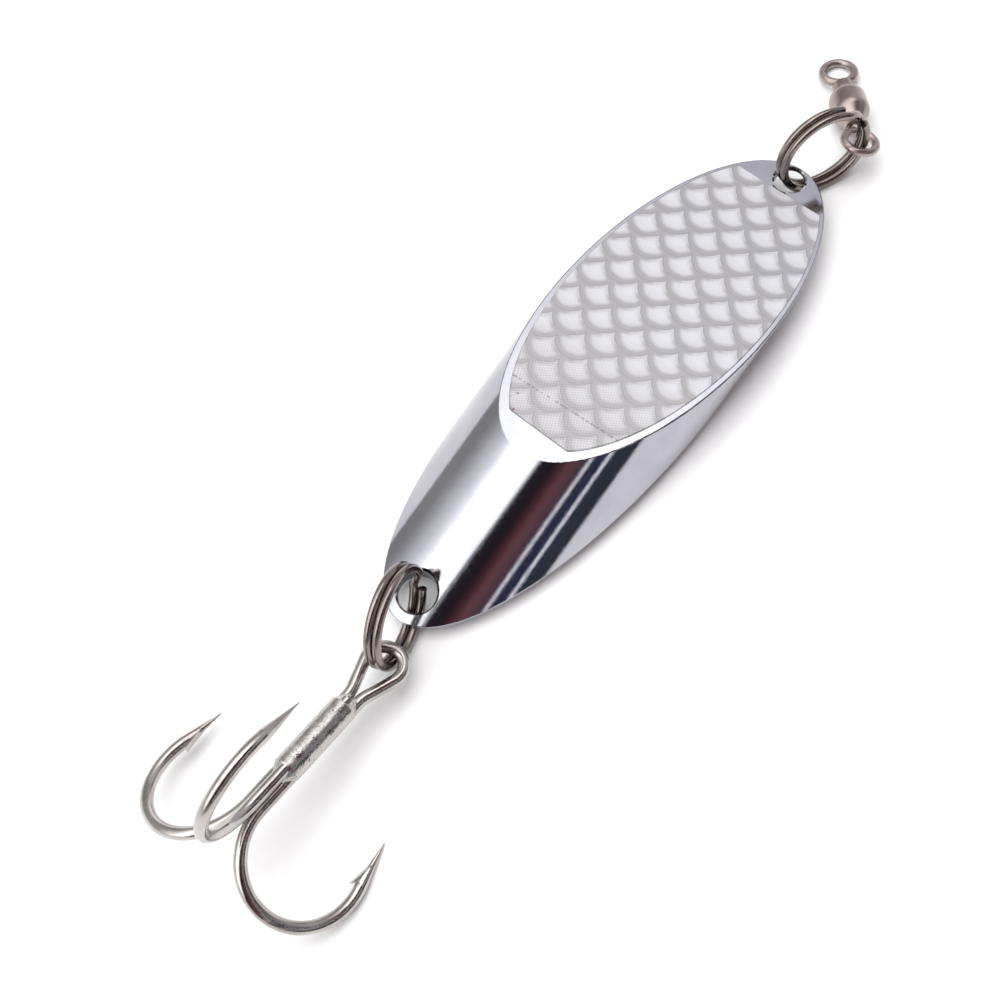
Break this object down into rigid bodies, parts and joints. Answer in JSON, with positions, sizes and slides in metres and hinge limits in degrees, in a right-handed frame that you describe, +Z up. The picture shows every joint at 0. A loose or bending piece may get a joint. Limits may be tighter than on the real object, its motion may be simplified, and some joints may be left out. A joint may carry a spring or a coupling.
{
  "type": "spoon lure",
  "caption": "Metal casting spoon with a bevelled oval body, a patterned foil, split rings, a barrel swivel and a treble hook.",
  "frame": {"origin": "middle of the overall box, on the surface that the lure lies on", "axes": "+X from the treble towards the line end, +Y across the body, +Z up from the body's flat underside"},
  "size_m": [0.1008, 0.0234, 0.0192],
  "materials": {
    "body_chrome": "mirror chrome plate over brass",
    "scale_film": "pale film printed with a fish-scale pattern",
    "ring_steel": "bright nickel-plated spring wire",
    "swivel_metal": "satin nickel plate",
    "hook_nickel": "bright nickel-plated hook wire",
    "hook_solder": "dull braze with dark specks"
  },
  "bodies": {
    "lure_body": {"lure_body": "body_chrome", "scale_foil": "scale_film"},
    "front_ring": {"front_split_ring": "ring_steel"},
    "ring_eye": {"swivel_ring_eye": "swivel_metal"},
    "barrel": {"swivel_barrel": "swivel_metal"},
    "line_eye": {"swivel_line_eye": "swivel_metal"},
    "rear_ring": {"rear_split_ring": "ring_steel"},
    "treble": {"hook_double_wire": "hook_nickel", "hook_single_wire": "hook_nickel", "hook_braze": "hook_solder"}
  },
  "joints": [
    {"name": "front_ring_swing", "type": "hinge", "parent": "lure_body", "child": "front_ring", "pos_m": [0.03365, 0.00221, 0.0022], "axis": [-0.4187, -0.9021, 0.1045], "range_deg": [-85, 5]},
    {"name": "swivel_ring_eye_swing", "type": "hinge", "parent": "front_ring", "child": "ring_eye", "pos_m": [0.0407, -0.00091, 0.00347], "axis": [0.3221, -0.0399, 0.9459], "range_deg": [-120, 60]},
    {"name": "swivel_barrel_spin", "type": "hinge", "parent": "ring_eye", "child": "barrel", "pos_m": [0.04839, 0.00678, 0.00078], "axis": [0.6865, 0.6865, -0.2396], "continuous": true},
    {"name": "swivel_line_eye_spin", "type": "hinge", "parent": "barrel", "child": "line_eye", "pos_m": [0.04839, 0.00678, 0.00078], "axis": [0.6865, 0.6865, -0.2396], "continuous": true},
    {"name": "rear_ring_swing", "type": "hinge", "parent": "lure_body", "child": "rear_ring", "pos_m": [-0.02079, 0.00221, 0.00198], "axis": [-0.3499, 0.9309, -0.1045], "range_deg": [-95, 0]},
    {"name": "treble_swing", "type": "hinge", "parent": "rear_ring", "child": "treble", "pos_m": [-0.0279, -0.00029, 0.00347], "axis": [-0.3242, -0.0157, 0.9459], "range_deg": [-80, 80]}
  ]
}
